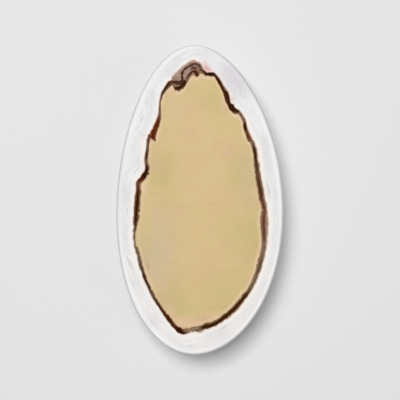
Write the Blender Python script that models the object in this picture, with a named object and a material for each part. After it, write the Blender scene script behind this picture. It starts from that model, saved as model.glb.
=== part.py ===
"""Half of a sugared almond, cut lengthwise and lying on its round back with the cut face up.

Three layers show at the cut, and each is one closed solid: the white sugar shell, the brown
skin of the almond and the almond itself. The frame is +Z up out of the cut face and +Y towards
the pointed end. The origin is the middle of the half's footprint, on the surface it rests on.
Every shape is worked out in millimetres, and MM turns a finished one into Blender's metres.
"""

import math
from typing import Callable, NamedTuple

import bmesh
import bpy
from mathutils import Vector

MM = 0.001


class Egg(NamedTuple):
    """A smooth egg outline in the cut plane."""

    length: float
    width: float
    taper: float  # how much narrower the pointed end is than the blunt end, as a share
    pinch: float  # the power that draws the ends in: 1 is an ellipse
    bow: float  # how far the middle leans to +X of the ends
    x: float
    y: float


class Swell(NamedTuple):
    """A bump (or, below zero, a dent) somewhere round an outline."""

    angle: float  # degrees round the outline: 0 is +X and 90 the pointed end
    height: float
    spread: float  # degrees


class Bowl(NamedTuple):
    """The round surface of a layer, under the cut plane."""

    outline: Callable  # the rim: a function of the angle round it
    depth: float
    fullness: float  # the power of the cross-section's oval: 2 is an ellipse
    segments: int
    rings: int


# The whole sweet, of which this is one half
SHELL_EGG = Egg(length=32.0, width=17.3, taper=0.08, pinch=1.03, bow=0.53, x=-0.5, y=0.0)
SHELL_DEPTH = 6.4  # from the cut plane to the lowest point of the back, before the flat
SHELL_FULLNESS = 2.15
REST_FLAT_DEPTH = 0.25  # what the flat that it rests on takes off the back
CUT_EDGE_ROUND = 0.35  # the worn edge between the glazed back and the cut face

# The hollow of the shell, which the almond and its skin fill
HOLLOW_EGG = Egg(length=27.3, width=13.2, taper=0.31, pinch=1.06, bow=0.98, x=-0.92, y=0.08)
HOLLOW_DEPTH = 4.6
HOLLOW_FULLNESS = 2.0
HOLLOW_SWELLS = (
    Swell(angle=38, height=0.77, spread=12),
    Swell(angle=43, height=-0.54, spread=2.2),
    Swell(angle=60, height=0.77, spread=5),
    Swell(angle=77, height=0.32, spread=2.1),
    Swell(angle=84, height=0.28, spread=4.5),
    Swell(angle=128.5, height=0.62, spread=7.4),
    Swell(angle=151, height=0.32, spread=2.8),
    Swell(angle=167, height=-0.35, spread=3),
    Swell(angle=183, height=0.19, spread=14),
    Swell(angle=231, height=-1.03, spread=19.6),
    Swell(angle=262, height=0.68, spread=4.9),
    Swell(angle=312, height=-0.13, spread=15),
)
WRINKLE_COUNT = 23  # small waves of the skin round the outline
WRINKLE_HEIGHT = 0.05

# The skin is thin nearly all round, and bunches up where it has torn and folded
SKIN_THICKNESS = 0.36
SKIN_FOLDS = (
    Swell(angle=45, height=0.3, spread=5),
    Swell(angle=84, height=0.55, spread=9),
    Swell(angle=100, height=0.3, spread=6),
    Swell(angle=115, height=0.95, spread=6),
    Swell(angle=148, height=0.55, spread=5),
    Swell(angle=222, height=-0.12, spread=18),
    Swell(angle=262, height=0.3, spread=4),
    Swell(angle=300, height=0.12, spread=14),
)
FLAKE_LIFT = (  # how far the torn skin stands over the cut face
    Swell(angle=45, height=0.12, spread=5),
    Swell(angle=84, height=0.2, spread=8),
    Swell(angle=113, height=0.32, spread=7),
    Swell(angle=148, height=0.15, spread=5),
)
INNER_LIFT = 0.5  # the share of it that the skin's inner edge rises
LAYER_GAP = 0.1  # between two layers: a third of the usual 0.3, because the sweet is this small

# The point over which every level section is centred, under the cut plane
KEEL_X = 0.0
KEEL_Y = -1.0

SHELL_SEGMENTS = 72
SHELL_RINGS = 14
HOLLOW_SEGMENTS = 120
HOLLOW_RINGS = 8
CUTTER_RISE = 1.0  # how far a cutter stands over the cut plane
RIM_REACH = 0.01  # a point this close to the cut plane is on a rim
CUT_EDGE_STEPS = 3
ROUND_PROFILE = 0.5  # a bevel's quarter circle

CUT_HEIGHT = SHELL_DEPTH - REST_FLAT_DEPTH


def signed_power(value, power):
    """The value raised to a power, with its sign kept."""
    return math.copysign(abs(value) ** power, value)


def egg_point(turn, egg):
    """The point of an egg outline at an angle: an ellipse, tapered, pinched and bowed."""
    across, along = math.cos(turn), math.sin(turn)
    x = egg.width / 2 * signed_power(across, egg.pinch) * (1 - egg.taper * along)
    return egg.x + x + egg.bow * across**2, egg.y + egg.length / 2 * along


def swell_height(turn, swells):
    """The sum of the swells at an angle, each a bell curve round its own angle."""
    total = 0.0
    for swell in swells:
        away = (math.degrees(turn) - swell.angle + 180) % 360 - 180
        total += swell.height * math.exp(-0.5 * (away / swell.spread) ** 2)
    return total


def shell_outline(turn):
    """The outer edge of the sugar shell in the cut plane."""
    return egg_point(turn, SHELL_EGG)


def hollow_outline(turn, inset=0.0):
    """The wall of the shell's hollow in the cut plane, moved towards the keel by inset."""
    x, y = egg_point(turn, HOLLOW_EGG)
    x, y = x - KEEL_X, y - KEEL_Y
    wrinkle = WRINKLE_HEIGHT * math.sin(WRINKLE_COUNT * turn)
    grown = 1 + (swell_height(turn, HOLLOW_SWELLS) + wrinkle - inset) / math.hypot(x, y)
    return KEEL_X + x * grown, KEEL_Y + y * grown


def skin_outside(turn):
    """The outline of the skin where it meets the sugar."""
    return hollow_outline(turn, LAYER_GAP)


def skin_inside(turn):
    """The outline of the skin where it meets the almond."""
    return hollow_outline(turn, LAYER_GAP + SKIN_THICKNESS + swell_height(turn, SKIN_FOLDS))


def kernel_outline(turn):
    """The outline of the almond itself."""
    return hollow_outline(turn, 2 * LAYER_GAP + SKIN_THICKNESS + swell_height(turn, SKIN_FOLDS))


def bowl_point(bowl, turn, fall):
    """The point of a bowl at an angle round it and an angle down from its rim.

    Every level section is the rim's outline shrunk towards the keel.
    """
    reach = max(0.0, math.cos(fall)) ** (2 / bowl.fullness)
    down = max(0.0, math.sin(fall)) ** (2 / bowl.fullness)
    x, y = bowl.outline(turn)
    return Vector((KEEL_X + (x - KEEL_X) * reach, KEEL_Y + (y - KEEL_Y) * reach, -bowl.depth * down))


def rim_of(bm):
    """The open edge of a mesh that has one."""
    return [edge for edge in bm.edges if edge.is_boundary]


def solid(name, bm):
    """An object made of a closed mesh in millimetres, whose faces are turned outwards."""
    bmesh.ops.recalc_face_normals(bm, faces=bm.faces[:])
    bmesh.ops.scale(bm, vec=(MM, MM, MM), verts=bm.verts[:])
    mesh = bpy.data.meshes.new(name)
    bm.to_mesh(mesh)
    bm.free()
    return bpy.data.objects.new(name, mesh)


def slice_off(bm, level, side):
    """Takes away what lies past a level plane: above it for side 1, below it for side -1."""
    everything = bm.verts[:] + bm.edges[:] + bm.faces[:]
    bmesh.ops.bisect_plane(
        bm, geom=everything, plane_co=(0, 0, level), plane_no=(0, 0, side), clear_outer=True
    )


def close_rim(bm):
    """Fills the open edge of a mesh with one flat face."""
    return bmesh.ops.edgeloop_fill(bm, edges=rim_of(bm))["faces"][0]


def open_bowl(bowl):
    """Half a sphere stretched into a bowl, whose rim lies in the cut plane, local z = 0."""
    bm = bmesh.new()
    bmesh.ops.create_uvsphere(bm, u_segments=bowl.segments, v_segments=2 * bowl.rings, radius=1)
    slice_off(bm, level=0, side=1)
    for vert in bm.verts:
        turn = math.atan2(vert.co.y, vert.co.x)
        vert.co = bowl_point(bowl, turn, math.asin(min(1.0, max(0.0, -vert.co.z))))
    return bm


def half_egg(name, bowl):
    """A solid half egg with a flat cut face."""
    bm = open_bowl(bowl)
    close_rim(bm)
    return solid(name, bm)


def resting_half_egg(name, bowl):
    """A half egg with a small flat under its back and a worn edge round its cut face."""
    bm = open_bowl(bowl)
    cut_face = close_rim(bm)
    bmesh.ops.bevel(
        bm,
        geom=cut_face.edges[:],
        offset=CUT_EDGE_ROUND,
        segments=CUT_EDGE_STEPS,
        profile=ROUND_PROFILE,
        affect="EDGES",
    )
    slice_off(bm, level=-CUT_HEIGHT, side=-1)
    close_rim(bm)
    return solid(name, bm)


def half_egg_cutter(name, bowl):
    """A half egg whose top stands proud of the cut plane."""
    bm = open_bowl(bowl)
    raised = bmesh.ops.extrude_edge_only(bm, edges=rim_of(bm))["geom"]
    for vert in (piece for piece in raised if isinstance(piece, bmesh.types.BMVert)):
        vert.co.z += CUTTER_RISE
    close_rim(bm)
    return solid(name, bm)


def double_bowl(name, outside, inside):
    """A thin layer: a sphere whose upper half is pushed down into its lower half.

    The sphere has no ring on its equator, so the two rings next to it become the two rims. Each
    rim rises where the flakes of skin stand up, the inner one by less.
    """
    bm = bmesh.new()
    levels = 2 * outside.rings + 1
    bmesh.ops.create_uvsphere(bm, u_segments=outside.segments, v_segments=levels, radius=1)
    for vert in bm.verts:
        turn = math.atan2(vert.co.y, vert.co.x)
        from_pole = math.acos(min(1.0, abs(vert.co.z))) * levels / (levels - 1)
        bowl, share = (outside, 1.0) if vert.co.z < 0 else (inside, INNER_LIFT)
        vert.co = bowl_point(bowl, turn, math.pi / 2 - from_pole)
        at_rim = abs(vert.co.z) < RIM_REACH
        vert.co.z += share * swell_height(turn, FLAKE_LIFT) if at_rim else 0.0
    return solid(name, bm)


def hollow_out(piece, cutter):
    """Takes a cutter's shape out of a piece."""
    cut = piece.modifiers.new("hollow", "BOOLEAN")
    cut.operation = "DIFFERENCE"
    cut.solver = "EXACT"
    cut.object = cutter


def food_material(name, colour, roughness):
    """A plain, non-metallic finish."""
    material = bpy.data.materials.new(name)
    material.use_nodes = True
    shader = material.node_tree.nodes["Principled BSDF"]
    shader.inputs["Base Color"].default_value = (*colour, 1.0)
    shader.inputs["Roughness"].default_value = roughness
    shader.inputs["Metallic"].default_value = 0.0
    return material


def clear_scene():
    """Removes whatever the scene starts with."""
    for leftover in list(bpy.data.objects):
        bpy.data.objects.remove(leftover, do_unlink=True)


def new_collection(name):
    """A collection of the scene."""
    collection = bpy.data.collections.new(name)
    bpy.context.scene.collection.children.link(collection)
    return collection


def footprint_middle():
    """The middle of the shell outline's box, in millimetres."""
    steps = 3600
    points = [shell_outline(2 * math.pi * step / steps) for step in range(steps)]
    return [(min(side) + max(side)) / 2 for side in zip(*points)]


def place(piece, collection, holder):
    """Puts a piece in its collection, held at the height of the cut plane."""
    collection.objects.link(piece)
    piece.parent = holder


def finish(piece, material):
    """Gives a layer its finish and smooth shading, with its real edges kept sharp."""
    piece.data.materials.append(material)
    piece.data.shade_smooth()
    piece.data.set_sharp_from_angle(angle=math.radians(40))


def hide_cutter(cutter):
    """Keeps a cutter out of the render."""
    cutter.hide_render = True
    cutter.display_type = "WIRE"


def main():
    clear_scene()
    parts = new_collection("sugared_almond_half")
    cutters = new_collection("cutters")

    holder = bpy.data.objects.new("cut_plane", None)
    middle_x, middle_y = footprint_middle()
    holder.location = (-middle_x * MM, -middle_y * MM, CUT_HEIGHT * MM)
    parts.objects.link(holder)

    shell_back = Bowl(shell_outline, SHELL_DEPTH, SHELL_FULLNESS, SHELL_SEGMENTS, SHELL_RINGS)
    shell = resting_half_egg("sugar_shell", shell_back)

    fine = (HOLLOW_FULLNESS, HOLLOW_SEGMENTS, HOLLOW_RINGS)
    hollow = half_egg_cutter("hollow_cutter", Bowl(hollow_outline, HOLLOW_DEPTH, *fine))
    hollow_out(shell, hollow)

    outer_depth = HOLLOW_DEPTH - LAYER_GAP
    inner_depth = outer_depth - SKIN_THICKNESS
    outside = Bowl(skin_outside, outer_depth, *fine)
    inside = Bowl(skin_inside, inner_depth, *fine)
    skin = double_bowl("almond_skin", outside, inside)

    kernel = half_egg("almond_kernel", Bowl(kernel_outline, inner_depth - LAYER_GAP, *fine))

    finish(shell, food_material("white_sugar", (0.84, 0.84, 0.83), 0.45))
    finish(skin, food_material("brown_skin", (0.13, 0.045, 0.025), 0.75))
    finish(kernel, food_material("almond_flesh", (0.66, 0.51, 0.26), 0.6))
    for layer in (shell, skin, kernel):
        place(layer, parts, holder)
    place(hollow, cutters, holder)
    hide_cutter(hollow)


main()
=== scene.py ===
"""The looks of half a sugared almond, cut lengthwise and lying on its round back.

Three layers show at the cut: the white sugar shell, the torn brown skin and the almond. Each is
one closed surface worked out with numpy in millimetres, round a cut plane at z = 0, with the
pointed end towards +Y. CutPlane then puts it in the part's frame, in metres.
"""

import logging
import math
from abc import ABC, abstractmethod
from dataclasses import dataclass
from enum import Enum
from typing import ClassVar

import bpy
import numpy as np
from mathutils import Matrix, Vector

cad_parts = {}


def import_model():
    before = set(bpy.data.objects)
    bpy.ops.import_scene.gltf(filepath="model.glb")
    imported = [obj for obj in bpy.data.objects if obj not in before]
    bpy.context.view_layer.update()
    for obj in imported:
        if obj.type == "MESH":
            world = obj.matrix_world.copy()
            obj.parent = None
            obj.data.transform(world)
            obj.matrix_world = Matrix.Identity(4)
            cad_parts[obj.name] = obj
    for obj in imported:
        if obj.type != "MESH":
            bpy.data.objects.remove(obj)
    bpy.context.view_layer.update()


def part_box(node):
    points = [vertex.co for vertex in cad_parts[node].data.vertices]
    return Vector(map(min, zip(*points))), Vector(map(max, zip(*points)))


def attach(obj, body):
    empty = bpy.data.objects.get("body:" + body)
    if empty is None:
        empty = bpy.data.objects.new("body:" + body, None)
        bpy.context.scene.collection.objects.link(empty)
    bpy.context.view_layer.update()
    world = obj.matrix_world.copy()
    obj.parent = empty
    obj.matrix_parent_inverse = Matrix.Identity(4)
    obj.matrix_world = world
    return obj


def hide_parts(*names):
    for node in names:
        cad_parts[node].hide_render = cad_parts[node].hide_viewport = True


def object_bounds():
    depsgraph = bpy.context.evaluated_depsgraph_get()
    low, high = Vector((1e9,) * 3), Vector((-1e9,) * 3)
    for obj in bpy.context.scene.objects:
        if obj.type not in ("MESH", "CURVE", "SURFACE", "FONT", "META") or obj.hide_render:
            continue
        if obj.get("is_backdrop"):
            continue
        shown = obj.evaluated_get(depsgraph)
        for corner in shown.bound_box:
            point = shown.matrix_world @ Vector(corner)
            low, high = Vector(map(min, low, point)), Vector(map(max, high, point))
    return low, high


LOG = logging.getLogger("sugared_almond")
MM = 0.001  # metres in a millimetre
ALL_ROUND = 3600  # columns that are enough to measure an outline

Colour = tuple[float, float, float]
Surface = tuple[np.ndarray, dict[str, np.ndarray]]  # a grid, and what is kept on its vertices


def screen_colour(red: float, green: float, blue: float) -> Colour:
    """The linear colour of a screen colour, by the screen's curve: a straight foot, then a power.

    Args:
        red, green, blue: the screen values, 0 to 255.

    Returns:
        The linear values, 0 to 1.
    """
    shares = (red / 255, green / 255, blue / 255)
    return tuple(s / 12.92 if s <= 0.04045 else ((s + 0.055) / 1.055) ** 2.4 for s in shares)


class Slot(Enum):
    """The record's material slots."""

    SUGAR = "sugar"
    SKIN = "skin"
    FLESH = "flesh"


@dataclass(frozen=True)
class Ripples:
    """Soft random relief, made of plane waves in seeded directions.

    Attributes:
        wavelength: the middle wavelength, in millimetres.
        height: the usual height over the mean, in millimetres.
        seed: which waves.
        waves: how many waves.
        octave: how far the wavelengths spread each way, as a factor.
    """

    wavelength: float
    height: float
    seed: int
    waves: int = 28
    octave: float = 1.6

    def at(self, points: np.ndarray) -> np.ndarray:
        """The relief at some points.

        Each wave is the cosine of its phase plus 2 pi times the distance along its direction
        over its length, and their sum is scaled to the height.

        Args:
            points: an array whose last axis is x, y, z in millimetres.

        Returns:
            The relief, with the other axes' shape.
        """
        rng = np.random.default_rng(self.seed)
        directions = rng.normal(size=(self.waves, 3))
        directions /= np.linalg.norm(directions, axis=1, keepdims=True)
        lengths = self.wavelength * self.octave ** rng.uniform(-1, 1, self.waves)
        phases = rng.uniform(0, 2 * math.pi, self.waves)
        angles = points @ (2 * math.pi * directions / lengths[:, None]).T + phases
        return self.height * math.sqrt(2 / self.waves) * np.cos(angles).sum(-1)


@dataclass(frozen=True)
class Swell:
    """A bump (or, below zero, a dent) at an angle round an outline.

    Attributes:
        angle: degrees round the outline; 0 is +X and 90 the pointed end.
        height: its height.
        spread: its width, in degrees.
    """

    angle: float
    height: float
    spread: float


def swell_sum(turn: np.ndarray, swells: tuple[Swell, ...]) -> np.ndarray:
    """The sum of swells, each a bell curve round its own angle.

    Args:
        turn: angles round the outline, in radians.
        swells: the swells to add.

    Returns:
        The height at each angle.
    """
    total = np.zeros_like(turn)
    for swell in swells:
        away = (np.degrees(turn) - swell.angle + 180) % 360 - 180
        total += swell.height * np.exp(-0.5 * (away / swell.spread) ** 2)
    return total


@dataclass(frozen=True)
class Spot:
    """A soft oval spot on the cut plane.

    Attributes:
        x, y: its middle, in millimetres.
        radius: its reach along X, in millimetres.
        strength: how strong it is in its middle, where 1 is all that shows.
        long: how many times as far it reaches along Y.
    """

    x: float
    y: float
    radius: float
    strength: float
    long: float = 1.0


def spotted(grid: np.ndarray, spots: tuple[Spot, ...]) -> np.ndarray:
    """How strong the spots are at each point: a sum of bell curves, no more than 1.

    Args:
        grid: points, in millimetres.
        spots: the spots.

    Returns:
        A number for each point.
    """
    total = np.zeros(grid.shape[:-1])
    for spot in spots:
        apart = np.hypot(grid[..., 0] - spot.x, (grid[..., 1] - spot.y) / spot.long)
        total += spot.strength * np.exp(-((apart / spot.radius) ** 2))
    return np.minimum(total, 1)


def smooth_step(values: np.ndarray, low: float, high: float) -> np.ndarray:
    """Rises smoothly from 0 at low to 1 at high: 3 t squared minus 2 t cubed."""
    share = np.clip((values - low) / (high - low), 0, 1)
    return share * share * (3 - 2 * share)


@dataclass(frozen=True)
class Egg:
    """A smooth egg outline in the cut plane, in millimetres.

    Attributes:
        length, width: its size along Y and X.
        taper: how much narrower the pointed end is than the blunt end, as a share.
        pinch: the power that draws the ends in; 1 is an ellipse.
        bow: how far its middle leans to +X of its ends.
        x, y: its middle.
    """

    length: float
    width: float
    taper: float
    pinch: float
    bow: float
    x: float
    y: float

    def outline(self, turn: np.ndarray) -> np.ndarray:
        """The outline's points.

        x is half the width times the pinched cosine, tapered by the sine, plus the bow times the
        cosine squared. y is half the length times the sine.

        Args:
            turn: angles round the outline, in radians.

        Returns:
            An array of x, y for each angle.
        """
        across, along = np.cos(turn), np.sin(turn)
        x = self.width / 2 * np.sign(across) * np.abs(across) ** self.pinch
        x = self.x + x * (1 - self.taper * along) + self.bow * across**2
        return np.stack([x, self.y + self.length / 2 * along], axis=-1)


def softened(values: np.ndarray, spread: float) -> np.ndarray:
    """Values round an outline, each averaged with its neighbours by a bell curve.

    Args:
        values: one for each column.
        spread: the bell curve's width, in columns.

    Returns:
        The averages: the values' waves, each shrunk by the bell curve's own share of it.
    """
    shares = np.fft.rfftfreq(len(values))
    waves = np.fft.rfft(values) * np.exp(-2 * (math.pi * spread * shares) ** 2)
    return np.fft.irfft(waves, len(values))


def bowl(
    outline: np.ndarray, keel: np.ndarray, depth: float, fullness: float, falls: np.ndarray
) -> np.ndarray:
    """A bowl under an outline.

    Every level section is the outline shrunk towards the keel by the cosine of the fall, and its
    depth is the sine of the fall, both raised to 2 over the fullness.

    Args:
        outline: x, y for each column.
        keel: the x, y over which the sections are centred.
        depth: the depth under the outline.
        fullness: the power of the cross-section's oval.
        falls: each row's angle down from the rim, in radians.

    Returns:
        x, y, z for each row and column.
    """
    reach = np.clip(np.cos(falls), 0, 1) ** (2 / fullness)
    down = np.clip(np.sin(falls), 0, 1) ** (2 / fullness)
    flat = keel + (outline - keel)[None] * reach[:, None, None]
    depths = np.broadcast_to((-depth * down)[:, None, None], (*flat.shape[:2], 1))
    return np.concatenate([flat, depths], axis=-1)


def span(start: np.ndarray, end: np.ndarray, shares: np.ndarray, level: float = 0.0) -> np.ndarray:
    """Rows of points between two outlines, at one level.

    Each row is start plus a share of the way to end.

    Args:
        start, end: x, y for each column.
        shares: each row's share of the way.
        level: the height.

    Returns:
        x, y, z for each row and column.
    """
    flat = start[None] + (end - start)[None] * shares[:, None, None]
    return np.concatenate([flat, np.full((*flat.shape[:2], 1), level)], axis=-1)


def outward(grid: np.ndarray) -> np.ndarray:
    """The unit normals of a grid that closes round its columns.

    Each is the step round the grid crossed with the step along it.

    Args:
        grid: x, y, z for each row and column.

    Returns:
        x, y, z for each row and column.
    """
    around = np.roll(grid, -1, axis=1) - np.roll(grid, 1, axis=1)
    normals = np.cross(around, np.gradient(grid, axis=0))
    return normals / np.maximum(np.linalg.norm(normals, axis=-1, keepdims=True), 1e-9)


@dataclass(frozen=True)
class CutPlane:
    """Where the cut plane lies in the part's frame.

    Attributes:
        shift: what takes x, y, z on the cut plane to the part's frame, in millimetres.
    """

    shift: np.ndarray

    @classmethod
    def of(cls, sugar_edge: np.ndarray) -> "CutPlane":
        """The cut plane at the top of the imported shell, with the sugar's edge centred on it.

        Args:
            sugar_edge: x, y round the sugar's outer edge.

        Returns:
            The cut plane.
        """
        low, high = (np.array(corner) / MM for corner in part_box("sugar_shell"))
        middle = (sugar_edge.min(0) + sugar_edge.max(0)) / 2
        return cls(np.array([*((low + high)[:2] / 2 - middle), high[2]]))

    @property
    def height(self) -> float:
        """How high the cut plane is over what the half rests on, in millimetres."""
        return float(self.shift[2])

    def close(self, name: str, grid: np.ndarray, values: dict[str, np.ndarray]) -> bpy.types.Object:
        """Makes a closed piece of a grid whose first and last rows are each a single point.

        Args:
            name: the piece's name.
            grid: x, y, z for each row and column, in millimetres on the cut plane.
            values: a number, or three, for each row and column, kept as attributes.

        Returns:
            The piece.
        """
        rows, columns = grid.shape[:2]
        kept = np.concatenate([[0], columns + np.arange((rows - 2) * columns), [(rows - 1) * columns]])
        numbers = 1 + np.arange((rows - 2) * columns).reshape(rows - 2, columns)
        beside = np.roll(numbers, -1, axis=1)
        last = np.full(columns, numbers[-1, -1] + 1)
        quads = np.stack([numbers[:-1], beside[:-1], beside[1:], numbers[1:]], axis=-1).reshape(-1, 4)
        foot = np.stack([np.zeros(columns, int), beside[0], numbers[0]], axis=-1)
        tip = np.stack([numbers[-1], beside[-1], last], axis=-1)
        mesh = bpy.data.meshes.new(name)
        points = (grid.reshape(-1, 3)[kept] + self.shift) * MM
        mesh.from_pydata(points, [], [*foot.tolist(), *quads.tolist(), *tip.tolist()])
        mesh.shade_smooth()
        for key, value in values.items():
            self._keep(mesh, key, value.reshape(rows * columns, -1)[kept])
        piece = bpy.data.objects.new(name, mesh)
        bpy.context.scene.collection.objects.link(piece)
        return piece

    @staticmethod
    def _keep(mesh: bpy.types.Mesh, key: str, numbers: np.ndarray) -> None:
        """Stores one number, or three, for each vertex.

        Args:
            mesh: the mesh.
            key: the attribute's name.
            numbers: a row for each vertex.
        """
        kind, part = ("FLOAT", "value") if numbers.shape[1] == 1 else ("FLOAT_VECTOR", "vector")
        attribute = mesh.attributes.new(key, kind, "POINT")
        attribute.data.foreach_set(part, numbers.astype(np.float32).ravel())


class Value:
    """A number that varies over a surface: a socket on which Python's arithmetic works."""

    def __init__(self, graph: "Graph", socket: bpy.types.NodeSocket) -> None:
        """Wraps a socket of a graph."""
        self.graph = graph
        self.socket = socket

    def _math(self, operation: str, *terms: "Value | float") -> "Value":
        """Adds one Math node.

        Args:
            operation: the node's operation.
            terms: its inputs, in order.

        Returns:
            Its result.
        """
        made = self.graph.node("ShaderNodeMath", {"operation": operation}, dict(enumerate(terms)))
        return Value(self.graph, made.outputs[0])

    def __add__(self, other: "Value | float") -> "Value":
        """This plus other."""
        return self._math("ADD", self, other)

    def __radd__(self, other: float) -> "Value":
        """Other plus this."""
        return self._math("ADD", other, self)

    def __sub__(self, other: "Value | float") -> "Value":
        """This minus other."""
        return self._math("SUBTRACT", self, other)

    def __rsub__(self, other: float) -> "Value":
        """Other minus this."""
        return self._math("SUBTRACT", other, self)

    def __mul__(self, other: "Value | float") -> "Value":
        """This times other."""
        return self._math("MULTIPLY", self, other)

    def __rmul__(self, other: float) -> "Value":
        """Other times this."""
        return self._math("MULTIPLY", other, self)

    def rise(self, low: float, high: float) -> "Value":
        """Rises smoothly from 0 at low to 1 at high.

        Args:
            low, high: where it starts and ends; a fall where low is the greater.

        Returns:
            The share, 0 to 1.
        """
        sockets = {"Value": self, "From Min": low, "From Max": high}
        made = self.graph.node("ShaderNodeMapRange", {"interpolation_type": "SMOOTHSTEP"}, sockets)
        return Value(self.graph, made.outputs["Result"])


Feed = Value | bpy.types.NodeSocket | float | tuple


@dataclass(frozen=True)
class Speckle:
    """Cloudy noise in a finish.

    Attributes:
        size: the usual size of a spot, in millimetres.
        height: how far it stands out of the surface, in millimetres.
        detail: how many finer layers it has.
    """

    size: float
    height: float = 0.0
    detail: float = 2.0


class Graph:
    """The nodes of one material, which end in one surface shader."""

    def __init__(self, name: str) -> None:
        """Starts a material.

        Args:
            name: the material's name.
        """
        self.material = bpy.data.materials.new(name)
        self.material.use_nodes = True
        self.tree = self.material.node_tree
        self.shader = self.tree.nodes["Principled BSDF"]
        self.place = self.node("ShaderNodeTexCoord").outputs["Object"]

    def feed(self, socket: bpy.types.NodeSocket, value: Feed) -> None:
        """Links a socket, or sets it.

        Args:
            socket: an input.
            value: what goes into it.
        """
        if isinstance(value, Value):
            value = value.socket
        if isinstance(value, bpy.types.NodeSocket):
            self.tree.links.new(value, socket)
        elif socket.type == "RGBA":
            socket.default_value = (*value, 1.0)
        else:
            socket.default_value = value

    def node(self, kind: str, settings: dict | None = None, sockets: dict | None = None) -> bpy.types.Node:
        """Adds a node.

        Args:
            kind: the node's type.
            settings: its properties, which are set first.
            sockets: values or links for its inputs, by name or by number.

        Returns:
            The node.
        """
        made = self.tree.nodes.new(kind)
        for key, value in (settings or {}).items():
            setattr(made, key, value)
        for key, value in (sockets or {}).items():
            self.feed(made.inputs[key], value)
        return made

    def stored(self, key: str) -> Value:
        """A number kept on the piece's vertices."""
        return Value(self, self.node("ShaderNodeAttribute", {"attribute_name": key}).outputs["Fac"])

    def stored_place(self, key: str) -> bpy.types.NodeSocket:
        """A vector kept on the piece's vertices."""
        return self.node("ShaderNodeAttribute", {"attribute_name": key}).outputs["Vector"]

    def stretched(self, stretch: tuple[float, float, float], turn: float) -> bpy.types.NodeSocket:
        """The piece's own place, changed so that patterns on it come out stretched.

        Args:
            stretch: how much longer the patterns are along X, Y and Z.
            turn: degrees that the long direction turns about Z.

        Returns:
            The changed place.
        """
        scale = tuple(1 / factor for factor in stretch)
        sockets = {"Vector": self.place, "Rotation": (0.0, 0.0, math.radians(turn)), "Scale": scale}
        return self.node("ShaderNodeMapping", {}, sockets).outputs["Vector"]

    def noise(self, speckle: Speckle, place: bpy.types.NodeSocket | None = None) -> Value:
        """Cloudy noise from -1 to 1, about 0, whose waves are two spots long.

        Args:
            speckle: its size and detail.
            place: where it is read; the piece's own place in metres if none is given.

        Returns:
            The noise.
        """
        scale = 0.5 / (speckle.size * MM)
        sockets = {"Vector": place or self.place, "Scale": scale, "Detail": speckle.detail}
        made = self.node("ShaderNodeTexNoise", {}, sockets)
        return Value(self, made.outputs["Fac"]) * 2.0 - 1.0

    def blend(self, share: Value, start: Feed, end: Feed) -> bpy.types.NodeSocket:
        """A colour between two colours.

        Args:
            share: 0 for start and 1 for end.
            start, end: the colours.

        Returns:
            The colour.
        """
        settings = {"data_type": "RGBA", "clamp_factor": True}
        # The node's colours are its inputs 6 and 7 and its output 2; the others are for numbers.
        made = self.node("ShaderNodeMix", settings, {0: share, 6: start, 7: end})
        return made.outputs[2]

    def finish(
        self, colour: Feed, roughness: Feed, relief: Value | float = 0.0, shine: float = 0.5
    ) -> bpy.types.Material:
        """Feeds the surface shader.

        Args:
            colour: the base colour.
            roughness: the roughness.
            relief: the fine relief, in millimetres.
            shine: the specular level, the same all over.

        Returns:
            The material.
        """
        bump = self.node("ShaderNodeBump", {}, {"Strength": 1.0, "Distance": MM, "Height": relief})
        self.feed(self.shader.inputs["Base Color"], colour)
        self.feed(self.shader.inputs["Roughness"], roughness)
        self.feed(self.shader.inputs["Normal"], bump.outputs["Normal"])
        self.feed(self.shader.inputs["Specular IOR Level"], shine)
        return self.material


class Finish(ABC):
    """The looks of one layer."""

    @abstractmethod
    def material(self) -> bpy.types.Material:
        """Builds the material.

        Returns:
            The material.
        """


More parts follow.
